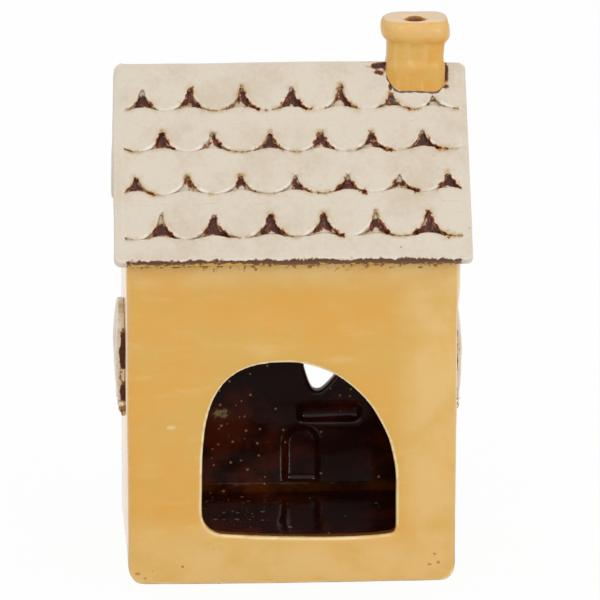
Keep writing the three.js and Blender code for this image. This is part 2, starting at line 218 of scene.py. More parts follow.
def newTree(name, kind, inputs, outputs):
    # a node tree with named sockets, its inputs as values, and its output node
    tree = bpy.data.node_groups.new(name, kind + "NodeTree")
    for way, sockets in (("INPUT", inputs), ("OUTPUT", outputs)):
        for label, socket in sockets.items():
            tree.interface.new_socket(label, in_out=way, socket_type="NodeSocket" + socket)
    given = {socket.name: Value(socket) for socket in add(tree, "NodeGroupInput").outputs if socket.name}
    return tree, given, add(tree, "NodeGroupOutput")


def callGroup(group, inputs):
    return made(inputs["Place"].tree, "ShaderNodeGroup", inputs, node_tree=group)


roof = {
    "pitch": 52.4,
    "ridge": 153.55,
    "slope": 62.28,
    "thickness": 2.9,
    "rim": 1.5,
    "halfLength": 56.2,
    "borderAt": 52.2,           # where the plain borders begin
    "streetLength": 0.965,      # the street's slope is this much shorter
    "ridgeLift": (1.5, 0.6),    # left and right: the rounding took the ridge down
    # how far the gable ends lie to the right: at the ridge, the near eaves and the street's eaves
    "leftEnd": (1.3, 0.5, 1.1),
    "rightEnd": (1.1, 0.45, 0.4),
    "ridgeCorners": (3.4, 4.2),     # radii at the left and right
    "eaveCorners": 2.4,
    "rimDrop": 0.5,             # of the slabs' borders, at the ridge
    "voxel": 0.5,
}
pitch = math.radians(roof["pitch"])
pitchSin, pitchCos = math.sin(pitch), math.cos(pitch)


# Effects that several glazes share

def makeBrokenGlaze():
    # glaze colour: mottled, thin on the crests and deep in the hollows
    inputs = {"Place": "Vector", "Body": "Color", "Deep": "Color", "Thin": "Color", "Crest": "Float",
              "Size": "Float"}
    group, given, result = newTree("brokenGlaze", "Shader", inputs, {"Colour": "Color"})
    cloud = noise(vectorMath(given["Place"], "SCALE", {"Scale": 1.0 / given["Size"]}), 1.0, 4.0, 0.6)
    grain = noise(given["Place"], 1.6, 2.0) - 0.5
    fleck = noise(given["Place"], 0.75, 2.0)
    crest = grain * 0.5 + given["Crest"]
    colour = coats(
        given["Body"],
        (ease(grain * 0.35 + cloud, 0.42, 0.72), given["Deep"]),
        (ease(fleck, 0.5, 0.72, 0, 0.4), given["Deep"]),
        (ease(crest, -0.15, -0.8, 0, 0.7), given["Deep"]),
        (ease(crest, 0.2, 0.9, 0, 0.75), given["Thin"]),
    )
    feed(result.inputs["Colour"], colour)
    return group


def makeSpecks():
    # small round spots, scattered a spacing apart, some of them missing
    inputs = {"Place": "Vector", "Spacing": "Float", "Radius": "Float", "Share": "Float"}
    group, given, result = newTree("specks", "Shader", inputs, {"Mask": "Float"})
    cells = add(group, "ShaderNodeTexVoronoi", {"Vector": given["Place"], "Scale": 1.0 / given["Spacing"]})
    pick, vary, _ = valuesOf(add(group, "ShaderNodeSeparateColor", {0: cells.outputs["Color"]}))
    edge = given["Radius"] * (vary + 0.35) / given["Spacing"]
    spot = Value(cells.outputs["Distance"]) < edge
    feed(result.inputs["Mask"], spot * (pick < given["Share"]))
    return group


def spotted(place, spacing, radius, share):
    return callGroup(specks, {"Place": place, "Spacing": spacing, "Radius": radius, "Share": share})


def makeGlazeSkin():
    # height of a glaze's skin: soft ripples, orange peel and a few pinholes
    inputs = {"Place": "Vector", "Ripple": "Float", "Peel": "Float"}
    group, given, result = newTree("glazeSkin", "Shader", inputs, {"Height": "Float"})
    ripples = noise(given["Place"], 7.0, 2.0) * given["Ripple"]
    peel = noise(given["Place"], 0.9, 2.0) * given["Peel"]
    pinholes = spotted(given["Place"], 3.6, 0.3, 0.35) * given["Peel"] * 0.6
    feed(result.inputs["Height"], ripples + peel - pinholes)
    return group


specks = makeSpecks()
brokenGlaze = makeBrokenGlaze()
glazeSkin = makeGlazeSkin()


# Glazes

def newMaterial(name):
    # a material, and places on it in mm
    material = bpy.data.materials.new(name)
    material.use_nodes = True
    place = made(material.node_tree, "ShaderNodeTexCoord", output="Object")
    return material, vectorMath(place, "SCALE", {"Scale": 1 / mm})


def broken(place, g, size):
    return callGroup(brokenGlaze, {
        "Place": place, "Body": g["body"], "Deep": g["deep"], "Thin": g["thin"],
        "Crest": attribute(place, "crest"), "Size": size,
    })


def fireGlaze(material, place, colour, roughness, ripple, peel, depth=0.12):
    # the glaze's colour, shine and uneven skin
    skin = callGroup(glazeSkin, {"Place": place, "Ripple": ripple, "Peel": peel})
    bump = add(place.tree, "ShaderNodeBump", {"Height": skin, "Distance": depth * mm, "Strength": 1.0})
    inputs = {"Base Color": colour, "Roughness": roughness, "IOR": 1.5, "Normal": bump.outputs[0]}
    feedAll(material.node_tree.nodes["Principled BSDF"], inputs)
    return material


def patch(place, centre, half, softness, fine):
    # 1 inside an ellipse seen from the front, with a ragged edge
    x, _, z = split(place)
    across = (x - centre[0]) / half[0]
    up = (z - centre[1]) / half[1]
    away = (across * across + up * up) ** 0.5
    return ease(away - fine * 1.6, 1 + softness, 1 - softness)


insideGlaze = {
    "dark": rgb(46, 17, 9),
    "warm": rgb(96, 34, 12),
    "black": rgb(52, 21, 12),
    "amber": rgb(140, 78, 22),
    "speck": rgb(186, 152, 102),
    "roughness": 0.1,
    "floorTop": 10.9,
    "spots": ((4.2, 0.62), (3.1, 0.4)),       # spacing and radius
    "blotch": ((-20.2, 37.2), (2.8, 1.5)),    # X, Z and half sizes
}


def insideColour(place):
    g = insideGlaze
    x, y, z = split(place)
    cloud = noise(place, 14, 4.0, 0.6)
    left = ease(x, 4, -22)
    foot = ease(z, g["floorTop"] + 4.6, g["floorTop"] + 1.6) * ease(z, g["floorTop"], g["floorTop"] + 0.7)
    colour = coats(
        blendColour(left, g["black"], g["dark"]),
        (ease(left * 0.16 + cloud, 0.5, 0.74), g["warm"]),
        (ease(attribute(place, "crest"), 0.25, 0.9, 0, 0.8), g["amber"]),
        (foot * ease(cloud, 0.35, 0.6) * 0.32, g["amber"]),
    )
    # specks and a blotch that the glaze spat out, most of them at the left
    share = ease(x, 6, -14, 0.12, 0.85)
    fine = noise(place, 1.8, 3.0, 0.65) - 0.5
    blotch = patch(place, *g["blotch"], 0.4, fine) * ease(y, 20, 24, 0, 0.9)
    blotch = blotch * ease(noise(place, 1.3, 3.0), 0.44, 0.54)
    spots = [(spotted(place, spacing, radius, share) * 0.85, g["speck"]) for spacing, radius in g["spots"]]
    return coats(colour, *spots, (blotch, g["speck"]))


def makeInsideGlaze():
    material, place = newMaterial("insideGlaze")
    return fireGlaze(material, place, insideColour(place), insideGlaze["roughness"], 1.2, 0.12, 0.25)


wallGlaze = {
    "body": rgb(215, 170, 86),
    "deep": rgb(221, 164, 72),
    "thin": rgb(238, 214, 166),
    "edge": rgb(250, 230, 184),
    # pale serves the glaze's streaks and the painted light at the right, the foot and under the eaves
    "pale": rgb(226, 188, 120),
    # painted reflection: the gable walls are painted pale, as glaze at a grazing angle mirrors the bright
    # studio
    "gable": rgb(240, 214, 178),
    "mottleSize": 26,
    "rust": rgb(134, 84, 36),
    "pane": rgb(84, 40, 28),
    "paneEdge": rgb(170, 112, 52),
    "rawClay": rgb(92, 58, 38),
    "roughness": 0.34,
    "gableRoughness": 0.14,
    "rawRoughness": 0.75,
    "insideAt": (49.4, 33.3),   # the inside glaze begins past these X and Y
    "sillTop": 17.6,
    "sillEdge": 1.0,            # how much nearer to the outer face it begins on the sill
    "footLine": 0.1,
    "eaveMarks": 1.9,           # how far below the roof's underside the brown begins
    # X, Z and half sizes of the patches where more amber gathered, of the chips at the foot and of a scar
    "amberPatches": [((-49.5, 40), (2.2, 30)), ((31, 13), (9, 4)), ((37, 19), (3, 5)), ((-44, 84), (7, 5)),
                     ((-12, 90), (20, 6)), ((-22, 88), (5, 4))],
    "chips": [((-48.9, 3.7), (0.9, 0.5)), ((-46.6, 2.2), (0.6, 0.3)), ((45, 9), (0.5, 0.35)),
              ((43.4, 5.6), (0.7, 0.3))],
    "scar": ((-38.1, 51.7), (1.5, 0.7)),
}


def makeWallGlaze():
    g = wallGlaze
    material, place = newMaterial("wallGlaze")
    x, y, z = split(place)
    ragged = noise(place, 2.2, 4.0, 0.65)
    fine = ragged - 0.5
    front = ease(y, -34, -34.5)
    side = ease(abs(x), 51.3, 52)
    streaks = noise(place, 5.0, 3.0, 0.6, stretch=(0.3, 0.3, 1.0))
    # painted light: the walls are painted paler at the right, at the foot and under the eaves
    rim = ease(x, 30, 42).atLeast(ease(z, 26, 8)).atLeast(ease(z, 94, 102))
    rim = rim * ease(noise(place, 12, 3.0), 0.3, 0.62, 0.25, 0.8)
    # brown that ran down from the eaves
    under = (roof["ridge"] - z) * pitchCos - abs(y) * pitchSin - fine * 9.0
    marks = ease(under, g["eaveMarks"] + 0.7, g["eaveMarks"], 0, 0.85) * blendValue(side, 1.0, 0.45)
    glass = fine * 1.5 + attribute(place, "pane")
    foot = ease(ragged * 0.9 + z, g["footLine"] + 0.7, g["footLine"] + 0.2)
    # the inside glaze, amber where it lies on the sill
    sill = ease(z, g["sillTop"], g["sillTop"] - 1.2) * ease(y, -29.6, -30.6)
    sideways = abs(x) - g["insideAt"][0]
    through = abs(y) - g["insideAt"][1] - sill * g["sillEdge"]
    inside = ease(fine * 1.4 + sideways.atLeast(through), 0.25, -0.25)
    brown = blendColour(sill * 0.75, insideColour(place), insideGlaze["amber"])
    colour = coats(
        broken(place, g, g["mottleSize"]),
        (ease(streaks, 0.5, 0.75, 0, 0.4), g["pale"]),
        (ease(attribute(place, "crest"), 0.32, 0.6, 0, 0.9), g["edge"]),
        *[(patch(place, *at, 0.6, fine) * front * 0.55, g["deep"]) for at in g["amberPatches"]],
        # painted light at the right, the foot and under the eaves
        (rim, g["pale"]),
        (patch(place, *g["scar"], 0.4, fine) * front * 0.45, g["thin"]),
        *[(patch(place, *at, 0.2, fine) * front * 0.55, g["rust"]) for at in g["chips"]],
        # painted reflection on the gable walls
        (side * 0.75, g["gable"]),
        (marks, g["rust"]),
        (spotted(place, 5.0, 0.42, 0.4) * ease(z, 16, 2) * 0.8, g["rust"]),
        (ease(glass, -0.1, 0.35), g["paneEdge"]),
        (ease(glass, 0.4, 0.8), g["pane"]),
        (foot, g["rawClay"]),
        (inside, brown),
    )
    rough = blendValue(side, g["roughness"], g["gableRoughness"])
    rough = blendValue(foot, blendValue(inside, rough, insideGlaze["roughness"]), g["rawRoughness"])
    return fireGlaze(material, place, colour, rough, 1.0, 0.25)


chimneyGlaze = {
    "body": rgb(216, 171, 89),
    "deep": rgb(219, 158, 62),
    "thin": rgb(236, 206, 162),
    "cap": rgb(225, 185, 120),
    # painted reflection: the top face is painted pale, as it mirrors the bright light above
    "top": rgb(239, 210, 174),
    "capFoot": 168.4,
    "capTop": 175.0,
    "flueAt": (40.3, -2.6),
    "flueRadius": 3.5,
    "flueRim": rgb(186, 132, 52),
    "flueDark": rgb(136, 84, 34),
    "roughness": 0.3,
}


def makeChimneyGlaze():
    g = chimneyGlaze
    material, place = newMaterial("chimneyGlaze")
    x, y, z = split(place)
    streaks = noise(place, 3.2, 3.0, 0.6, stretch=(1.0, 1.0, 0.2))
    across, along = x - g["flueAt"][0], y - g["flueAt"][1]
    away = noise(place, 1.2, 3.0) * 0.5 + (across * across + along * along) ** 0.5
    colour = coats(
        broken(place, g, 11),
        (ease(streaks, 0.5, 0.72, 0, 0.5), g["cap"]),
        (ease(z, g["capFoot"], g["capFoot"] + 2.5, 0, 0.55), g["cap"]),
        # painted reflection on the top face
        (ease(z, g["capTop"] - 0.5, g["capTop"], 0, 0.9), g["top"]),
        (ease(away, g["flueRadius"] + 0.3, g["flueRadius"]), g["flueRim"]),
        (ease(away, g["flueRadius"], g["flueRadius"] - 0.4), g["flueDark"]),
    )
    return fireGlaze(material, place, colour, g["roughness"], 1.0, 0.2)


roofGlaze = {
    "body": rgb(213, 201, 184),
    "deep": rgb(203, 188, 166),
    "thin": rgb(224, 215, 202),
    "mottleSize": 20,
    # thinner glaze on the tiles' edges, with a painted highlight; also the white slip's colour
    "paleGlazeAndHighlight": rgb(238, 232, 222),
    "olive": rgb(184, 162, 116),
    "ochre": rgb(176, 122, 58),
    "rust": rgb(134, 60, 28),
    "stain": rgb(70, 25, 15),
    "streak": rgb(122, 62, 46),
    "eaveStain": rgb(98, 68, 60),
    "roughness": 0.36,
}


def makeRoofGlaze():
    g = roofGlaze
    material, place = newMaterial("roofGlaze")
    names = ("pool", "seam", "paleGlazeAndHighlight", "eave", "drip", "base", "ceiling")
    pool, seam, paleGlazeAndHighlight, eave, drip, base, ceiling = (attribute(place, name) for name in names)
    fine = noise(place, 1.5, 3.0, 0.6) - 0.5
    coarse = noise(place, 2.8, 2.0) - 0.5
    patchy = noise(place, 9.0, 2.0)
    # a faint line in the joint, here and there
    shown = ease(noise(place, 6.5, 3.0, 0.6), 0.42, 0.6)
    hair = fine * 1.6 + 0.2 - abs(seam)
    line = ease(hair, -0.12, 0.04) * shown * ease(noise(place, 1.1, 2.0), 0.42, 0.55)
    # the stain between two tiles: a tint round it, then ochre, rust and the dark
    stain = coarse * 2.6 + fine * 2.6 + pool
    halo = ease(coarse * 2.6 + pool, -2.0, 0.1) * ease(patchy, 0.35, 0.6) * 0.5
    veins = noise(place, 1.0, 2.0, 0.6, stretch=(1.0, 0.35, 0.35))
    dark = blendColour(ease(veins, 0.56, 0.7), g["stain"], g["streak"])
    island = ease(noise(place, 1.5, 2.0), 0.6, 0.64, 1, 0.1)
    # stain that ran beside the chimney, and a little white slip round its foot
    run = coarse * 0.8 + fine * 1.1 + drip
    slip = ease(base, 1.5, 0.9) * ease(base, 0.0, 0.3)
    # the line along the eave, and the walls' glaze that runs up under it
    edge = eave - fine * 2.2 - coarse * 1.6
    under = (noise(place, 24, 2.0) - 0.5) * 5.0 + fine * 6.0 + eave
    colour = coats(
        broken(place, g, g["mottleSize"]),
        # thinner glaze on the tiles' edges beside the notches, with a painted highlight
        (paleGlazeAndHighlight * ease(patchy, 0.3, 0.6, 0.35, 1), g["paleGlazeAndHighlight"]),
        (ease(hair, -1.1, 0.0) * shown * 0.8, g["olive"]),
        (line * 0.9, g["rust"]),
        (halo, g["olive"]),
        (ease(stain, -0.32, -0.05, 0, 0.85), g["ochre"]),
        (ease(stain, -0.06, 0.14), g["rust"]),
        (ease(stain, 0.08, 0.3) * island, dark),
        (slip * 0.1, g["paleGlazeAndHighlight"]),
        (ease(run, 0.1, 0.28, 0, 0.8), g["ochre"]),
        (ease(run, 0.3, 0.45), dark),
        (ease(fine * 0.5 + abs(base), 0.3, 0.16, 0, 0.85), g["stain"]),
        (ease(edge, 0.7, 0.3, 0, 0.6), g["ochre"]),
        (ease(edge, 0.45, 0.2), g["eaveStain"]),
        (ease(under, -1.8, -2.0), wallGlaze["body"]),
        (spotted(place, 5.5, 0.3, 0.22) * 0.7, g["ochre"]),
        (ceiling, insideGlaze["dark"]),
    )
    return fireGlaze(material, place, colour, g["roughness"], 1.0, 0.3, 0.14)


trimGlaze = {
    "body": rgb(232, 220, 202),
    "deep": rgb(198, 168, 124),
    "thin": rgb(242, 234, 222),
    "stain": rgb(84, 42, 30),
    "ochre": rgb(172, 118, 50),
    "roughness": 0.34,
}


def makeTrimGlaze():
    g = trimGlaze
    material, place = newMaterial("trimGlaze")
    ragged = noise(place, 2.6, 4.0, 0.65) - 0.5
    hollow = attribute(place, "crest") - ragged * 1.6
    crease = ragged * 2.2 + attribute(place, "crease")
    colour = coats(
        broken(place, g, 9),
        (ease(hollow, -0.2, -0.5, 0, 0.85), g["ochre"]),
        (ease(hollow, -0.45, -0.8), g["stain"]),
        (ease(crease, -0.1, 0.1), g["ochre"]),
        (ease(crease, 0.1, 0.3), g["stain"]),
    )
    return fireGlaze(material, place, colour, g["roughness"], 0.8, 0.3)


doorGlaze = {
    "body": rgb(112, 62, 34),
    "deep": rgb(60, 28, 18),
    "thin": rgb(168, 108, 56),
    "roughness": 0.28,
}


def makeDoorGlaze():
    g = doorGlaze
    material, place = newMaterial("doorGlaze")
    grain = noise(place, 1.2, 3.0, 0.6, stretch=(1.0, 1.0, 0.15))
    colour = coats(broken(place, g, 6), (ease(grain, 0.5, 0.7, 0, 0.5), g["deep"]))
    return fireGlaze(material, place, colour, g["roughness"], 0.8, 0.3)


glazes = {
    "wall": makeWallGlaze(),
    "chimney": makeChimneyGlaze(),
    "inside": makeInsideGlaze(),
    "roof": makeRoofGlaze(),
    "trim": makeTrimGlaze(),
    "door": makeDoorGlaze(),
}
print("glazes mixed")


# Mesh helpers. Working meshes are in millimetres.

def ramp(value, start, end):
    # how far the value has come from start to end, from 0 to 1
    return np.clip((value - start) / (end - start), 0, 1)


def hill(share):
    # 1 in the middle, 0 from -1 and 1 outwards
    return np.clip(1 - share ** 2, 0, 1)


def readRows(items, field, columns, kind):
    flat = np.empty(len(items) * columns, dtype=kind)
    items.foreach_get(field, flat)
    return flat.reshape(-1, columns)


def readPoints(mesh):
    return readRows(mesh.vertices, "co", 3, float)


def readEdges(mesh):
    return readRows(mesh.edges, "vertices", 2, np.int32)


def writePoints(mesh, points):
    mesh.vertices.foreach_set("co", np.ascontiguousarray(points, dtype=np.float32).ravel())
    mesh.update()


def writeValues(mesh, name, values):
    layer = mesh.attributes.get(name) or mesh.attributes.new(name, "FLOAT", "POINT")
    values = np.broadcast_to(np.asarray(values, dtype=np.float32), len(mesh.vertices))
    layer.data.foreach_set("value", np.ascontiguousarray(values))


def neighbourMean(values, edges):
    # the mean of each point's neighbours, for an array of one row a point
    count = np.bincount(edges.ravel(), minlength=len(values)).clip(1)
    total = np.zeros_like(values)
    for here, there in ((0, 1), (1, 0)):
        for column in range(values.shape[1]):
            total[:, column] += np.bincount(edges[:, here], values[edges[:, there], column], len(values))
    return total / count[:, None]


def relax(mesh, rounds, weight=0.5):
    # softens edges; the weight may be one number or one for each point
    points, edges = readPoints(mesh), readEdges(mesh)
    weight = np.broadcast_to(weight, len(points))[:, None]
    for _ in range(rounds):
        points += weight * (neighbourMean(points, edges) - points)
    writePoints(mesh, points)


def writeCrest(mesh, radius=1.4, rounds=2):
    # 1 on a convex edge of that radius, -1 in a crease like it
    points, edges = readPoints(mesh), readEdges(mesh)
    normals = readRows(mesh.vertex_normals, "vector", 3, np.float32)
    step = points[edges[:, 1]] - points[edges[:, 0]]
    length = (step ** 2).sum(1).clip(1e-6)
    bend = np.zeros(len(points))
    for here, sign in ((0, -1), (1, 1)):
        turn = sign * (normals[edges[:, here]] * step).sum(1) / length
        bend += np.bincount(edges[:, here], turn, len(points))
    crest = (2 * bend / np.bincount(edges.ravel(), minlength=len(points)).clip(1))[:, None]
    for _ in range(rounds):
        crest += 0.6 * (neighbourMean(crest, edges) - crest)
    writeValues(mesh, "crest", np.clip(crest[:, 0] * radius, -1, 1))


def waves(points, size, seed, count=9):
    # a smooth vector field of unit size, for handmade unevenness
    draw = np.random.default_rng(seed)
    result = np.zeros_like(points)
    for _ in range(count):
        along = draw.normal(size=3)
        along /= np.linalg.norm(along)
        push = draw.normal(size=3)
        length = size * draw.uniform(0.7, 1.7)
        result += push * np.sin(2 * np.pi * (points @ along / length) + draw.uniform(0, 6.3))[:, None]
    return result / math.sqrt(count)


body = {
    "voxel": 0.62,
    "rounds": 7,
    "joint": 29.9,          # Y where the walls meet, and X inside the gable walls
    "inner": 46,
    "gableReach": 1.05,     # the gable walls' ends run on into the other walls, to their Y times this
    "footRounding": 0.16,   # how much of the softening is left at the table
    "taper": 0.004,         # of the width, from the eaves to the foot
    "belly": 0.8,           # how far the arch's wall stands out at the foot, in the middle
    "streetBulge": 0.7,     # how far the left gable's street side stands out at the foot
    "flare": (86, 0.9),     # the right gable widens above this height, by so much
    "lean": ((38, 0.22, 3), (11, 0.07, 5)),     # size, amount and seed of the unevenness
}


def makeUneven(mesh):
    # nothing is moved in the plane of the table, so that the foot stays flat
    points = readPoints(mesh)
    push = sum(amount * waves(points, size, seed) for size, amount, seed in body["lean"])
    push[:, 2] *= ramp(points[:, 2], 0, 6)
    writePoints(mesh, points + push)


def drop(thing):
    mesh = thing.data
    bpy.data.objects.remove(thing)
    if mesh.users == 0:
        bpy.data.meshes.remove(mesh)


def meshFrom(bm, name="work"):
    mesh = bpy.data.meshes.new(name)
    bm.to_mesh(mesh)
    bm.free()
    return mesh


def joined(*meshes):
    whole = bmesh.new()
    for mesh in meshes:
        whole.from_mesh(mesh)
        bpy.data.meshes.remove(mesh)
    return meshFrom(whole)


def nodeMesh(*nodes):
    # merged copies of CAD nodes, in one mesh
    parts = []
    for node in nodes:
        part = bmesh.new()
        part.from_mesh(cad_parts[node].data)
        bmesh.ops.remove_doubles(part, verts=part.verts, dist=1e-7)
        bmesh.ops.scale(part, vec=(1 / mm,) * 3, verts=part.verts)
        parts.append(meshFrom(part))
    return joined(*parts)


def evaluated(thing):
    # the object's mesh as its modifiers leave it. The object goes.
    mesh = bpy.data.meshes.new_from_object(thing.evaluated_get(bpy.context.evaluated_depsgraph_get()))
    thing.modifiers.clear()
    drop(thing)
    return mesh


def remeshed(mesh, voxel):
    thing = newObject("work", mesh)
    modifier = thing.modifiers.new("fuse", "REMESH")
    modifier.mode = "VOXEL"
    modifier.voxel_size = voxel
    modifier.use_smooth_shade = True
    return evaluated(thing)


def cut(mesh, point, normal):
    # keeps what lies behind the plane, and closes it with a flat face
    bm = bmesh.new()
    bm.from_mesh(mesh)
    everything = bm.verts[:] + bm.edges[:] + bm.faces[:]
    parted = bmesh.ops.bisect_plane(bm, geom=everything, plane_co=point, plane_no=normal, clear_outer=True)
    rim = [part for part in parted["geom_cut"] if isinstance(part, bmesh.types.BMEdge)]
    filled = bmesh.ops.triangle_fill(bm, edges=rim, use_beauty=True, use_dissolve=False, normal=normal)
    for part in filled["geom"]:
        if isinstance(part, bmesh.types.BMFace):
            part.smooth = False
    for edge in rim:
        edge.smooth = False
    bm.to_mesh(mesh)
    bm.free()
    return mesh


def finishPiece(name, mesh, glaze, node):
    # to metres, in place, on the body, and no further out than the CAD
    low, high = (np.array(corner) for corner in cadBox)
    writePoints(mesh, np.clip(readPoints(mesh) * mm, low, high))
    mesh.materials.clear()
    mesh.materials.append(glazes[glaze])
    mesh.name = name
    piece = newObject(name, mesh)
    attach(piece, "root")
    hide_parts(node)


# Body

def wallBlock():
    # the four walls in one, with the gable walls run on into the other two
    gables = nodeMesh("left_gable_wall", "right_gable_wall")
    points = readPoints(gables)
    points[np.abs(points[:, 1]) > body["joint"], 1] *= body["gableReach"]
    writePoints(gables, points)
    block = remeshed(joined(nodeMesh("back_wall", "front_wall"), gables), body["voxel"])
    height = readPoints(block)[:, 2]
    relax(block, body["rounds"], 0.5 * np.clip((height - 0.6) / 3, body["footRounding"], 1))
    points = readPoints(block)
    x, y, z = points.T
    crown = ramp(z, 100, 0)
    points[:, 0] = x * (1 - body["taper"] * crown)
    points[:, 0] -= (x < -40) * body["streetBulge"] * crown * ramp(y, 0, 35)
    points[:, 1] -= (y < -29.5) * body["belly"] * hill(x / 50) * ramp(z, 60, 0)
    start, flare = body["flare"]
    points[:, 0] += (x > 40) * flare * ramp(z, start, start + 10)
    writePoints(block, points)
    return block


windows = {
    # each window's frame, and the width of its bars
    "left_window_frame": 3.2,
    "right_window_frame": 3.2,
    "street_window_frame": 2.6,
    "upper_left_window_frame": 2.6,
    "upper_right_window_frame": 2.6,
}


def onGable(node):
    return node.startswith(("left", "right"))


def windowSpan(node):
    # a window's box, its axis along the wall, and its middle and half width there
    low, high = (np.array(corner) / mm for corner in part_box(node))
    wide = 1 if onGable(node) else 0
    return low, high, wide, (low[wide] + high[wide]) / 2, (high[wide] - low[wide]) / 2


def writePanes(mesh):
    # how far inside a window's frame a point of the wall lies
    points = readPoints(mesh)
    inside = np.full(len(points), -9.0)
    for name, bar in windows.items():
        low, high, wide, middle, half = windowSpan(name)
        off = 1 - wide
        near = np.abs(points[:, off] - (low[off] + high[off]) / 2) < (high[off] - low[off]) / 2 + 1.2
        across, z = points[:, wide] - middle, points[:, 2]
        arch = half - np.hypot(across, np.clip(z - high[2] + half, 0, None))
        depth = np.minimum(arch, z - low[2]) - bar
        inside = np.where(near, np.maximum(inside, depth), inside)
    writeValues(mesh, "pane", inside)


def addWalls():
    block = wallBlock()
    writeCrest(block)
    # the planes that part the walls, each as a point and its normal
    ends = [((0, -body["joint"], 0), (0, -1, 0)), ((0, body["joint"], 0), (0, 1, 0))]
    pieces = {
        "back_wall": [((0, -body["joint"], 0), (0, 1, 0))],
        "front_wall": [((0, body["joint"], 0), (0, -1, 0))],
        "left_gable_wall": [((-body["inner"], 0, 0), (1, 0, 0)), *ends],
        "right_gable_wall": [((body["inner"], 0, 0), (-1, 0, 0)), *ends],
    }
    for name, planes in pieces.items():
        mesh = block.copy()
        for point, normal in planes:
            cut(mesh, point, normal)
        writePanes(mesh)
        makeUneven(mesh)
        finishPiece(name + "_glazed", mesh, "wall", name)
    bpy.data.meshes.remove(block)


floor = {
    "cove": 3.6,        # how far the glaze climbs the walls
    "reach": 1.5,       # and how fast it falls away from them
    "inCorners": 1.2,   # the most it climbs, as a share of the cove
    "lap": 0.35,        # the floor's edge in the walls
    "step": 0.5,
}


def addFloor():
    low, high = (Vector(corner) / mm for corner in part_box("floor_slab"))
    across = int((high.x - low.x) / floor["step"])
    along = int((high.y - low.y) / floor["step"])
    bm = bmesh.new()
    bmesh.ops.create_grid(bm, x_segments=across, y_segments=along, size=0.5)
    for vert in bm.verts:
        vert.co.x *= high.x - low.x + 2 * floor["lap"]
        vert.co.y *= high.y - low.y + 2 * floor["lap"]
        rise = sum(math.exp((abs(at) - end) / floor["reach"]) for at, end in zip(vert.co, high.xy))
        vert.co.z = high.z + floor["cove"] * min(rise, floor["inCorners"])
    lower = bmesh.ops.extrude_face_region(bm, geom=bm.faces[:])
    for part in lower["geom"]:
        if isinstance(part, bmesh.types.BMVert):
            part.co.z = low.z
    bmesh.ops.recalc_face_normals(bm, faces=bm.faces)
    mesh = meshFrom(bm)
    for face in mesh.polygons:
        face.use_smooth = face.normal.z > 0.2
    makeUneven(mesh)
    writeCrest(mesh)
    finishPiece("floor_glazed", mesh, "inside", "floor_slab")


addWalls()
addFloor()
print("body built")


# Roof. Slope coordinates: x along the ridge, y up the slope, z out of it, from the underside at the ridge.

course = {
    "bottoms": (-10.8, -24.7, -39.0, -54.3),    # y of the scallops
    "depths": (8.4, 7.2, 6.7, 9.2),
    "shallower": (0.42, 0, 0, 0),   # share of its depth that a course loses between these two X
    "from": 20,
    "to": 34,
    "notchGap": 0.8,
    "overlap": 0.8,             # of a course under the one above
    "humpRise": 1.7,            # how far the next course pokes up between two tiles
    "humpHalf": 4.6,
    "bed": 2.7,
    "edgeThickness": 1.7,
    "upperThickness": 1.5,
    "halfLength": 54.9,
    "ridgeSeam": 3.7 * math.tan(pitch),     # where the two sides' first courses meet
    "columns": 280,
    "rows": 24,
    "voxel": 0.36,
    "rounds": 8,
}

# Each notch between two tiles: its X, how far down it the stain begins, the stain's reach to the left and
# to the right, and how wide it is along the tiles
notches = [
    [(-62, 9, 0, 0, 1), (-47, 2.6, 2.2, 3.2, 3.2), (-32, 0.8, 2.6, 3.4, 1.9), (-15.5, 0.8, 1.2, 5, 1.9),
     (0, 1.2, 3.4, 6.2, 1.7), (15.5, 0.8, 1.8, 5.2, 1.4), (31.9, 2.4, 2.2, 6.5, 1.9),
     (44.6, 5.6, 1.4, 1.4, 1), (63, 9, 0, 0, 1)],
    [(-56, 9, 0, 0, 1), (-40.8, 0.8, 1.8, 4.2, 2.5), (-25, 1, 1, 2.4, 1.3), (-7, 0.8, 2.2, 3.8, 2.1),
     (9.1, 0.6, 2.4, 4.2, 1.4), (24.8, 0.8, 2.2, 6.2, 1.7), (41.1, 0.8, 3, 8, 2.5), (58.5, 9, 0, 0, 1)],
    [(-64, 9, 0, 0, 1), (-49.1, 0.8, 3, 5.6, 3.4), (-33.2, 0.5, 0.9, 2.4, 1.2), (-16.4, 0.8, 1.8, 1.2, 1.7),
     (0.6, 0.5, 0.8, 5.2, 2.6), (17.2, 1.5, 4.6, 5.4, 2.4), (33.4, 2.4, 1.8, 6, 1.6), (48.7, 0.8, 3, 4, 2.1),
     (65, 9, 0, 0, 1)],
    [(-57.5, 9, 0, 0, 1), (-41.5, 2.9, 3.2, 4.6, 3), (-25.2, 1, 2.8, 5.2, 3), (-7.4, 0.6, 3.2, 4.4, 3),
     (9.4, 0.6, 3.4, 6, 1.6), (25.7, 2.2, 3.6, 5.4, 1.7), (42.2, 0.6, 4.6, 8.5, 2.8), (59, 9, 0, 0, 1)],
]


def joinAll(tree, *geometries):
    node = add(tree, "GeometryNodeJoinGeometry")
    for geometry in geometries:
        feed(node.inputs[0], geometry)
    return node.outputs[0]


def glazedTree(tree, result, geometry, glaze):
    real = made(tree, "GeometryNodeRealizeInstances", {"Geometry": geometry})
    feed(result.inputs[0], made(tree, "GeometryNodeSetMaterial", {"Geometry": real, "Material": glaze}))
    return tree


def grown(thing, tree, values):
    # what the tree makes of the object
    modifier = thing.modifiers.new("tree", "NODES")
    modifier.node_group = tree
    for item in tree.interface.items_tree:
        if item.in_out == "INPUT" and item.name in values:
            modifier[item.identifier] = values[item.name]
    return evaluated(thing)


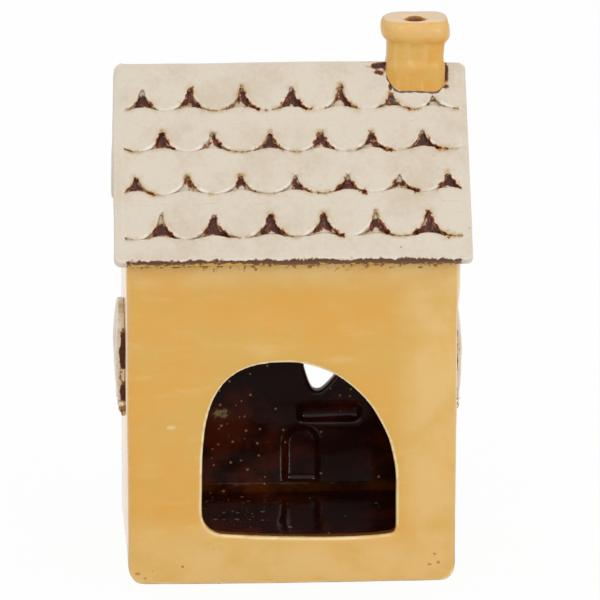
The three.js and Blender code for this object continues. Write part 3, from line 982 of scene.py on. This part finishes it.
def courseTree():
    # one course of scalloped tiles, from the notches given as the vertices of a line
    names = ("Length", "Bottom", "Top", "Scallop Depth", "Shallower", "Notch Gap", "Hump Rise", "Hump Half",
             "Bed", "Edge Thickness", "Upper Thickness")
    sizes = dict.fromkeys(names, "Float")
    inputs = {"Geometry": "Geometry", **sizes, "Above": "Object", "Glaze": "Material"}
    tree, given, result = newTree("tileCourse", "Geometry", inputs, {"Geometry": "Geometry"})
    place = made(tree, "GeometryNodeInputPosition")
    x, y, _ = split(place)
    onLine = combine(x)

    def sample(geometry, domain, value):
        inputs = {0: geometry, "Sample Position": onLine}
        nearest = made(tree, "GeometryNodeSampleNearest", inputs, domain=domain)
        inputs = {"Geometry": geometry, "Value": value, "Index": nearest}
        kind = "FLOAT_VECTOR"
        return split(made(tree, "GeometryNodeSampleIndex", inputs, "Value", data_type=kind, domain=domain))[0]

    # lower edge: half an ellipse under each tile
    ends = add(tree, "GeometryNodeInputMeshEdgeVertices").outputs
    middle, left, right = (
        sample(given["Geometry"], "EDGE", at) for at in (place, ends["Position 1"], ends["Position 2"])
    )
    radius = (abs(right - left) - given["Notch Gap"]) * 0.5
    share = (abs(x - middle) / radius).atMost(1.0)
    arc = (1.0 - share * share) ** 0.5
    inputs = {"Value": x, "From Min": course["from"], "From Max": course["to"]}
    fade = 1.0 - made(tree, "ShaderNodeMapRange", inputs) * given["Shallower"]
    lower = given["Bottom"] + given["Scallop Depth"] * (1.0 - arc) * fade

    # upper edge: a hump into each notch of the course above
    inputs = {"Object": given["Above"]}
    above = made(tree, "GeometryNodeObjectInfo", inputs, "Geometry", transform_space="ORIGINAL")
    away = (x - sample(above, "POINT", place)) / given["Hump Half"]
    upper = given["Top"] + given["Hump Rise"] * (1.0 - (away * away).atMost(1.0))

    inputs = {"Size X": given["Length"], "Size Y": 1.0, "Vertices X": course["columns"],
              "Vertices Y": course["rows"]}
    grid = made(tree, "GeometryNodeMeshGrid", inputs, "Mesh")
    flat = combine(x, blendValue(y + 0.5, lower, upper), given["Bed"])
    sheet = made(tree, "GeometryNodeSetPosition", {0: grid, "Position": flat})

    # thickness, from the lower edge to the upper one
    inputs = {"Mesh": sheet, "Offset Scale": 1.0, "Individual": False}
    slab = add(tree, "GeometryNodeExtrudeMesh", inputs, mode="FACES").outputs
    lift = ((y - given["Bottom"]) / (given["Top"] - given["Bottom"])).atMost(1.0)
    skin = combine(x, y, given["Bed"] + blendValue(lift, given["Edge Thickness"], given["Upper Thickness"]))
    inputs = {0: slab["Mesh"], "Selection": slab["Top"], "Position": skin}
    raised = made(tree, "GeometryNodeSetPosition", inputs)
    both = joinAll(tree, raised, made(tree, "GeometryNodeFlipFaces", {"Mesh": sheet}))
    welded = made(tree, "GeometryNodeMergeByDistance", {"Geometry": both, "Distance": 1e-4})
    return glazedTree(tree, result, welded, given["Glaze"])


def notchLine(index):
    row = notches[index]
    mesh = bpy.data.meshes.new("notches")
    mesh.from_pydata([(notch[0], 0, 0) for notch in row], [(i, i + 1) for i in range(len(row) - 1)], [])
    return newObject("notches", mesh)


def tileAt(index, x):
    # the number of the tile at each x, and the notches at its left and right
    ends = np.array([notch[0] for notch in notches[index]])
    tile = np.clip(np.searchsorted(ends, x) - 1, 0, len(ends) - 2)
    return tile, ends[tile], ends[tile + 1]


def scallopEdge(index, x):
    # the lower edge of a course at x, by the rule that the tree follows
    _, left, right = tileAt(index, x)
    radius = (right - left - course["notchGap"]) / 2
    share = np.clip(np.abs(x - (left + right) / 2) / radius, 0, 1)
    depth = course["depths"][index] * (1 - course["shallower"][index] * ramp(x, course["from"], course["to"]))
    return course["bottoms"][index] + depth * (1 - np.sqrt(1 - share ** 2))


def nearestNotch(index, x):
    # how far right of its nearest notch each x is, and that notch's stain
    row = np.array(notches[index])
    best = row[np.abs(x[:, None] - row[None, :, 0]).argmin(1)]
    return x - best[:, 0], *best[:, 1:].T


def edgeDistance(index, x, y):
    # the distance of points to a course's lower edge, over a fine copy of that edge
    step, reach, portion = 0.12, 57, 4000
    along = np.arange(-reach, reach, step)
    edge = np.column_stack([along, scallopEdge(index, along)])
    distance = np.full(len(x), 99.0)
    middle = course["bottoms"][index] + course["depths"][index] / 2
    picked = np.flatnonzero(np.abs(y - middle) < course["depths"][index])
    for start in range(0, len(picked), portion):
        part = picked[start:start + portion]
        gap = np.stack([x[part], y[part]], 1)[:, None, :] - edge[None, :, :]
        distance[part] = np.sqrt((gap ** 2).sum(2)).min(1)
    return distance


# the chimney's foot, on a roof whose ends aren't shifted yet
chimneyFoot = {"x": 39.2, "half": (8.9, 6.5), "corners": (4.6, 2.6)}

# stains beside the chimney: place on the slope, half their size, and how dark
chimneyStains = [
    ((29.9, 3.4), (1.6, 2.6), 1), ((30.6, 0.2), (0.8, 3.4), 0.9), ((31.2, -3.2), (0.9, 2.0), 0.9),
    ((27.3, 3.4), (3.6, 1.8), 0.8), ((28.2, 1.2), (2.4, 1.2), 0.8), ((48.9, 1.6), (1.3, 4.6), 1),
    ((48.9, -3.2), (1.5, 1.5), 0.5),
]


def footDistance(x, y, z):
    # the distance in plan from the chimney's foot, for points in slope coordinates of the back
    r = np.where(x < chimneyFoot["x"], *chimneyFoot["corners"])
    across = np.abs(x - chimneyFoot["x"]) - chimneyFoot["half"][0] + r
    along = np.abs(y * pitchCos - z * pitchSin) - chimneyFoot["half"][1] + r
    return np.hypot(np.clip(across, 0, None), np.clip(along, 0, None)) - r


def stainAttributes(mesh, facing):
    # what the roof's glaze needs to know, in mm, from slope coordinates
    x, y, z = readPoints(mesh).T
    pool, seam, paleGlazeAndHighlight = np.full(len(x), -9.0), np.full(len(x), 99.0), np.zeros(len(x))
    for index, (bottom, depth) in enumerate(zip(course["bottoms"], course["depths"])):
        below = np.where(y < scallopEdge(index, x), 1, -1) * edgeDistance(index, x, y)
        seam = np.where(np.abs(below) < np.abs(seam), below, seam)
        offset, start, left, right, width = nearestNotch(index, x)
        height = y - bottom
        hump = (course["humpRise"] + 0.3) * hill(offset / course["humpHalf"])
        leg = np.where(offset > 0, right - offset, left + offset)
        narrow = 0.85 * width * np.clip(0.35 + leg / 4, 0, 1) - below
        amount = np.minimum.reduce([below + 0.25, height - hump, leg, depth - start - height, narrow])
        pool = np.maximum(pool, amount)
        # a band on the tiles' edges beside the notches: thinner glaze there, with a painted highlight
        band = np.clip(1 - np.abs(-below - 0.55) / 0.5, 0, 1)
        aside = np.abs(offset)
        flank = ramp(height, 0.3, 1.5) * ramp(aside, 8, 5) * ramp(aside, 0.9, 1.9)
        paleGlazeAndHighlight = np.maximum(paleGlazeAndHighlight, band * flank)
    outside = ramp(np.abs(x), roof["borderAt"] + 0.2, roof["borderAt"] + 1.7) + (z < 1.5)
    writeValues(mesh, "pool", pool - 9 * outside)
    writeValues(mesh, "seam", np.where(outside > 0.4, 99, seam))
    writeValues(mesh, "paleGlazeAndHighlight", paleGlazeAndHighlight * (outside < 0.4))
    ends = ramp(np.abs(x), 53.4, 54.6)
    writeValues(mesh, "eave", y + roof["slope"] + np.clip(4.0 - z, 0, 4) * -0.6 + 4 * ends)
    inRoom = (z < 0.5) & (np.abs(x) < 47.5) & (y > 9 - roof["slope"])
    writeValues(mesh, "ceiling", inRoom)
    drip = np.full(len(x), -1.0)
    if facing < 0:
        for place, size, depth in chimneyStains:
            away = np.hypot((x - place[0]) / size[0], (y - place[1]) / size[1])
            drip = np.maximum(drip, depth * (1 - away))
    writeValues(mesh, "drip", drip)
    writeValues(mesh, "base", footDistance(-facing * x, y, z))


def toHouse(mesh, facing, rimDrop=0):
    # from slope coordinates to the house's
    x, y, z = readPoints(mesh).T
    shorter = roof["streetLength"] if facing > 0 else 1
    slope = roof["slope"] * shorter + y
    y = np.where(y < 0, y * shorter, y)
    up = roof["ridge"] + y * pitchSin + z * pitchCos
    x, y = -facing * x, -facing * (y * pitchCos - z * pitchSin)
    end, top = np.abs(x), np.clip((up - 149) / 11, 0, 1.1) ** 2
    # the corners are rounded, at the eave and at the ridge
    radius = roof["eaveCorners"]
    inset = radius - np.sqrt(radius ** 2 - np.clip(radius - slope, 0, radius) ** 2)
    corner = np.where(x < 0, *roof["ridgeCorners"])
    fall = corner - np.sqrt(corner ** 2 - np.clip(end - roof["halfLength"] + corner, 0, corner) ** 2)
    fall = fall + rimDrop * ramp(end, roof["borderAt"], roof["borderAt"] + 0.8)
    # none of the four ends is quite square
    share = x / (2 * roof["halfLength"]) + 0.5
    x = x - np.sign(x) * inset * ramp(end, 48, 56)
    high = ramp(up, 105, 160)
    for (ridge, near, street), part in ((roof["leftEnd"], 1 - share), (roof["rightEnd"], share)):
        x = x + part * (ridge * high + np.where(y < 0, near, street) * (1 - high))
    lift = roof["ridgeLift"][0] * (1 - share) + roof["ridgeLift"][1] * share
    up = up + (lift - fall) * top
    writePoints(mesh, np.column_stack([x, y, up]))


def tileDome(points, index):
    # each tile is a little convex, and no two lie quite alike
    x, y, _ = points.T
    tile, left, right = tileAt(index, x)
    across = (2 * x - left - right) / (right - left)
    down = ramp(y, course["bottoms"][index] + 14, course["bottoms"][index])
    draw = np.random.default_rng(40 + index)
    tilt = draw.uniform(-0.12, 0.12, len(notches[index]))[tile]
    lift = draw.uniform(0.2, 0.4, len(notches[index]))[tile]
    return down * (1 - across ** 2) * (lift + tilt * across) - 0.12 * down


def tileMesh(tree, index):
    # one course in slope coordinates
    above = notchLine(index - 1) if index else None
    mesh = grown(notchLine(index), tree, {
        "Length": 2 * course["halfLength"],
        "Bottom": course["bottoms"][index],
        "Top": course["bottoms"][index - 1] + course["overlap"] if index else course["ridgeSeam"],
        "Scallop Depth": course["depths"][index],
        "Shallower": course["shallower"][index],
        "Notch Gap": course["notchGap"],
        "Hump Rise": course["humpRise"] - course["overlap"] if index else 0.0,
        "Hump Half": course["humpHalf"],
        "Bed": course["bed"],
        "Edge Thickness": course["edgeThickness"],
        "Upper Thickness": course["upperThickness"],
        "Above": above,
        "Glaze": glazes["roof"],
    })
    if above:
        drop(above)
    mesh = remeshed(mesh, course["voxel"])
    relax(mesh, course["rounds"])
    points = readPoints(mesh)
    raised = ramp(points[:, 2], course["bed"], course["bed"] + 1.2)
    points[:, 2] += raised * tileDome(points, index)
    # the ends sink into the plain border
    edge = ramp(np.abs(points[:, 0]), 51.2, 54.4)
    border = roof["thickness"] + roof["rim"] - 0.25
    points[:, 2] -= edge * np.clip(points[:, 2] - border, 0, None)
    writePoints(mesh, points)
    return mesh


def addCourses():
    tree = courseTree()
    for side, facing in (("back", -1), ("front", 1)):
        for index in range(len(notches)):
            mesh = tileMesh(tree, index)
            stainAttributes(mesh, facing)
            writeCrest(mesh, 1.0)
            toHouse(mesh, facing)
            makeUneven(mesh)
            finishPiece(f"{side}_tiles_{index + 1}", mesh, "roof", f"{side}_tile_course_{index + 1}")


def addSlabs():
    # both slabs in one first, so that the ridge is one rounded edge
    mesh = nodeMesh("back_roof_slab", "front_roof_slab")
    points = readPoints(mesh)
    near = np.abs(points[:, 1]) < 0.4
    points[near, 1] *= -1
    writePoints(mesh, points)
    block = remeshed(mesh, roof["voxel"])
    relax(block, 7)
    writeCrest(block)
    for side, facing in (("back", -1), ("front", 1)):
        mesh = cut(block.copy(), (0, 0, 0), (0, -facing, 0))
        points = readPoints(mesh)
        x, back, up = -facing * points[:, 0], -facing * points[:, 1], points[:, 2] - roof["ridge"]
        y = back * pitchCos + up * pitchSin
        z = up * pitchCos - back * pitchSin
        # the plain band pokes up between the last tiles
        offset = nearestNotch(3, x)[0]
        hump = (course["humpRise"] - course["overlap"]) * hill(offset / course["humpHalf"])
        hump = (hump + course["overlap"]) * (np.abs(x) < 52.5)
        step = course["bottoms"][3]
        reach = np.minimum(ramp(y, step + 4.4, step), ramp(y, step - 6, step - 1))
        y = y + hump * reach * (z > 1.5)
        writePoints(mesh, np.column_stack([x, y, z]))
        stainAttributes(mesh, facing)
        toHouse(mesh, facing, roof["rimDrop"])
        makeUneven(mesh)
        finishPiece(f"{side}_slab_glazed", mesh, "roof", f"{side}_roof_slab")
    bpy.data.meshes.remove(block)


addSlabs()
addCourses()
print("roof laid")


# Pieces that keep their CAD form, softened as a glaze softens them

small = {
    # the glaze, the voxel size and the rounds of softening
    "chimney": ("chimney", 0.42, 5),
    "left_window_frame": ("trim", 0.32, 5),
    "right_window_frame": ("trim", 0.32, 5),
    "street_window_frame": ("trim", 0.32, 5),
    "upper_left_window_frame": ("trim", 0.32, 5),
    "upper_left_window_sill": ("trim", 0.32, 4),
    "upper_right_window_frame": ("trim", 0.32, 5),
    "upper_right_window_sill": ("trim", 0.32, 4),
    "door_leaf": ("door", 0.25, 3),
    "door_surround": ("trim", 0.28, 4),
    "door_knob": ("inside", 0.14, 2),
    "door_steps": ("trim", 0.36, 4),
}

gableFace = 52      # X of the gable walls' outer faces, and Y of the street's
streetFace = 35

planters = {
    # each box, and its seed
    "nodes": {"left_window_box": 11, "right_window_box": 12, "street_window_box": 13, "heart_box": 14},
    "leaf": 1.15,         # radius of a lump of leaves
    "spacing": 1.35,
    "bare": 0.35,         # share of the box's height without leaves
    "voxel": 0.3,
    "rounds": 2,
}


def plantTree():
    # lumps of leaves over the upper part of a box
    inputs = {"Geometry": "Geometry", "Foot": "Float", "Leaf": "Float", "Spacing": "Float", "Seed": "Int",
              "Glaze": "Material"}
    tree, given, result = newTree("plants", "Geometry", inputs, {"Geometry": "Geometry"})
    z = split(made(tree, "GeometryNodeInputPosition"))[2]
    fine = made(tree, "GeometryNodeSubdivideMesh", {"Mesh": given["Geometry"], "Level": 3})
    inputs = {"Mesh": fine, "Distance Min": given["Spacing"], "Density Max": 3.0,
              "Density Factor": z > given["Foot"], "Seed": given["Seed"]}
    kind = "GeometryNodeDistributePointsOnFaces"
    points = made(tree, kind, inputs, "Points", distribute_method="POISSON")
    leaf = made(tree, "GeometryNodeMeshIcoSphere", {"Radius": given["Leaf"], "Subdivisions": 2})
    inputs = {"Min": (0.55, 0.55, 0.45), "Max": (1.25, 1.25, 0.85), "Seed": given["Seed"]}
    size = made(tree, "FunctionNodeRandomValue", inputs, data_type="FLOAT_VECTOR")
    inputs = {"Min": (-0.7, -0.7, 0.0), "Max": (0.7, 0.7, 6.3)}
    turn = made(tree, "FunctionNodeRandomValue", inputs, data_type="FLOAT_VECTOR")
    inputs = {"Points": points, "Instance": leaf, "Rotation": turn, "Scale": size}
    lumps = made(tree, "GeometryNodeInstanceOnPoints", inputs)
    return glazedTree(tree, result, joinAll(tree, given["Geometry"], lumps), given["Glaze"])


def addPlanters():
    tree = plantTree()
    for node, seed in planters["nodes"].items():
        low, high = (corner[2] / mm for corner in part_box(node))
        mesh = grown(newObject("work", nodeMesh(node)), tree, {
            "Foot": low + planters["bare"] * (high - low),
            "Leaf": planters["leaf"],
            "Spacing": planters["spacing"],
            "Seed": seed,
            "Glaze": glazes["trim"],
        })
        mesh = remeshed(mesh, planters["voxel"])
        relax(mesh, planters["rounds"])
        writeCrest(mesh, 0.9)
        if onGable(node):
            press(mesh, (0.4, 0.66, 0.66))
        finishPiece(node + "_planted", mesh, "trim", node)


chimneyForm = {
    # what lies lower than the first over the slope goes down by the second, so that the foot stays sharp
    "sink": (5.8, 3.0),
    "axis": 40.3,
    "foot": (163, 155),         # Z, downwards
    "footPinch": 0.1,           # share of its depth that the foot loses
    "head": (163, 173),         # Z, upwards
    "flueFoot": (150, 154),
    "flueShrink": (0.95, 0.8),
    "flueWithin": ((7, 4), (8, 4)),     # of the axis, inwards: where it shrinks and where it shifts
    "flueShift": 2.6,           # the flue lies to the back of the house
    "shiftBefore": (6.2, 3.6),  # Y
    "tilt": (0.05, 8),          # of the top, down towards the back, and the Y where it is level
    "lean": 0.5,
    "leanBetween": ((163, 167), (172, 168)),    # Z
    "leanBeyond": 44,           # X
}


def shapeChimney(mesh):
    form = chimneyForm
    points = readPoints(mesh)
    x, y, z = points.T
    above = ramp(z, *form["head"])
    away = np.hypot(x - form["axis"], y)
    shrinks, shifts = (ramp(away, *within) for within in form["flueWithin"])
    near = shrinks * ramp(z, *form["flueFoot"])
    points[:, 0] -= near * (1 - form["flueShrink"][0]) * (x - form["axis"])
    points[:, 1] -= near * (1 - form["flueShrink"][1]) * y
    points[:, 1] -= form["footPinch"] * y * ramp(z, *form["foot"])
    points[:, 1] -= form["flueShift"] * above * shifts * ramp(y, *form["shiftBefore"])
    tilt, level = form["tilt"]
    points[:, 2] += tilt * above * (y - level)
    start, end = form["leanBetween"]
    points[:, 0] += form["lean"] * ramp(z, *end) * ramp(z, *start) * (x > form["leanBeyond"])
    writePoints(mesh, points)


def sinkChimney(mesh):
    # before it is softened
    points = readPoints(mesh)
    over = np.abs(points[:, 1]) * pitchSin + (points[:, 2] - roof["ridge"]) * pitchCos
    limit, fall = chimneyForm["sink"]
    points[:, 2] -= fall * (over < limit)
    writePoints(mesh, points)


def press(mesh, profile):
    # moves points nearer to a gable, by the profile from foot to top
    points = readPoints(mesh)
    x, _, z = points.T
    share = np.interp(z, np.linspace(z.min(), z.max(), len(profile)), profile)
    points[:, 0] = np.sign(x) * (gableFace + (np.abs(x) - gableFace) * share)
    writePoints(mesh, points)


def writeCrease(mesh, node):
    # how near to the wall a point of a window frame's outer side lies, where stain gathered
    low, high, wide, middle, half = windowSpan(node)
    points = readPoints(mesh)
    off = np.abs(np.abs(points[:, 1 - wide]) - (gableFace if wide else streetFace))
    height = (points[:, 2] - low[2]) / (high[2] - low[2])
    outer = np.abs(points[:, wide] - middle) > half - 0.9
    there = np.zeros(len(points))
    for start, end in ((-0.05, 0.17), (0.33, 0.74)):
        there = np.maximum(there, np.minimum(height - start, end - height) * 30)
    writeValues(mesh, "crease", np.where(outer, np.minimum(1.8 - off, there), -9))


def addSmallPieces():
    for node, (glaze, voxel, rounds) in small.items():
        source = nodeMesh(node)
        if node == "chimney":
            sinkChimney(source)
        mesh = remeshed(source, voxel)
        relax(mesh, rounds)
        writeCrest(mesh, 0.9)
        if node == "chimney":
            shapeChimney(mesh)
        if node in windows:
            writeCrease(mesh, node)
            if onGable(node):
                press(mesh, (0.75, 0.92, 1.0, 0.85, 0.62))
        makeUneven(mesh)
        finishPiece(node + "_glazed", mesh, glaze, node)


addSmallPieces()
addPlanters()
print("small pieces softened")


# Stage

stage = {
    "floorSize": 8000,
    "floor": rgb(238, 237, 235),
    "mirrored": rgb(96, 94, 92),    # the floor, as the glaze reflects it
    "whiten": 0.95,         # how much of the floor is plain white to the camera
    "sky": 0.86,            # strength of the world's light
    "skyMirrored": 0.5,     # the world, as the glaze reflects it
    "paperFrom": (-40, 20), # Y, where reflections of the floor turn white
    "aim": (0, 0, 80),
    "lamps": {
        "key": {"place": (-360, -1250, 1050), "size": 560, "power": 3.0},
        "top": {"place": (420, -500, 1350), "size": 520, "power": 0.8},
        "fill": {"place": (560, -1300, 420), "size": 300, "power": 2.6},
    },
}


def seenDirectly(tree):
    path = add(tree, "ShaderNodeLightPath").outputs
    seen = Value(path["Is Camera Ray"]).atLeast(Value(path["Is Transmission Ray"]))
    return seen, Value(path["Is Glossy Ray"])


def addStage():
    bm = bmesh.new()
    bmesh.ops.create_grid(bm, x_segments=8, y_segments=8, size=stage["floorSize"] * mm / 2)
    sheet = newObject("floorSheet", meshFrom(bm, "floorSheet"))
    material, place = newMaterial("floorPaper")
    tree = material.node_tree
    seen, mirrored = seenDirectly(tree)
    colour = blendColour(mirrored, stage["floor"], stage["mirrored"])
    inputs = {"Base Color": colour, "Roughness": 0.9, "Specular IOR Level": 0.1}
    shader = feedAll(tree.nodes["Principled BSDF"], inputs)
    white = made(tree, "ShaderNodeEmission", {"Color": (1, 1, 1, 1), "Strength": 1.0})
    # white behind the house in reflections too, where the paper lies
    share = seen.atLeast(mirrored * ease(split(place)[1], *stage["paperFrom"])) * stage["whiten"]
    mixed = made(tree, "ShaderNodeMixShader", {0: share, 1: shader.outputs[0], 2: white})
    feed(tree.nodes["Material Output"].inputs["Surface"], mixed)
    sheet.data.materials.append(material)

    world = bpy.data.worlds.new("studio")
    scene.world = world
    world.use_nodes = True
    tree = world.node_tree
    seen, mirrored = seenDirectly(tree)
    sky = blendValue(mirrored, stage["sky"], stage["skyMirrored"])
    feedAll(tree.nodes["Background"], {"Color": (1, 1, 1, 1), "Strength": blendValue(seen, sky, 1.0)})

    for name, lamp in stage["lamps"].items():
        data = bpy.data.lights.new(name, "AREA")
        data.size = lamp["size"] * mm
        data.energy = lamp["power"]
        light = newObject(name, data)
        light.location = Vector(lamp["place"]) * mm
        aim = Vector(stage["aim"]) * mm - light.location
        light.rotation_euler = aim.to_track_quat("-Z", "Y").to_euler()


addStage()
print("stage lit")
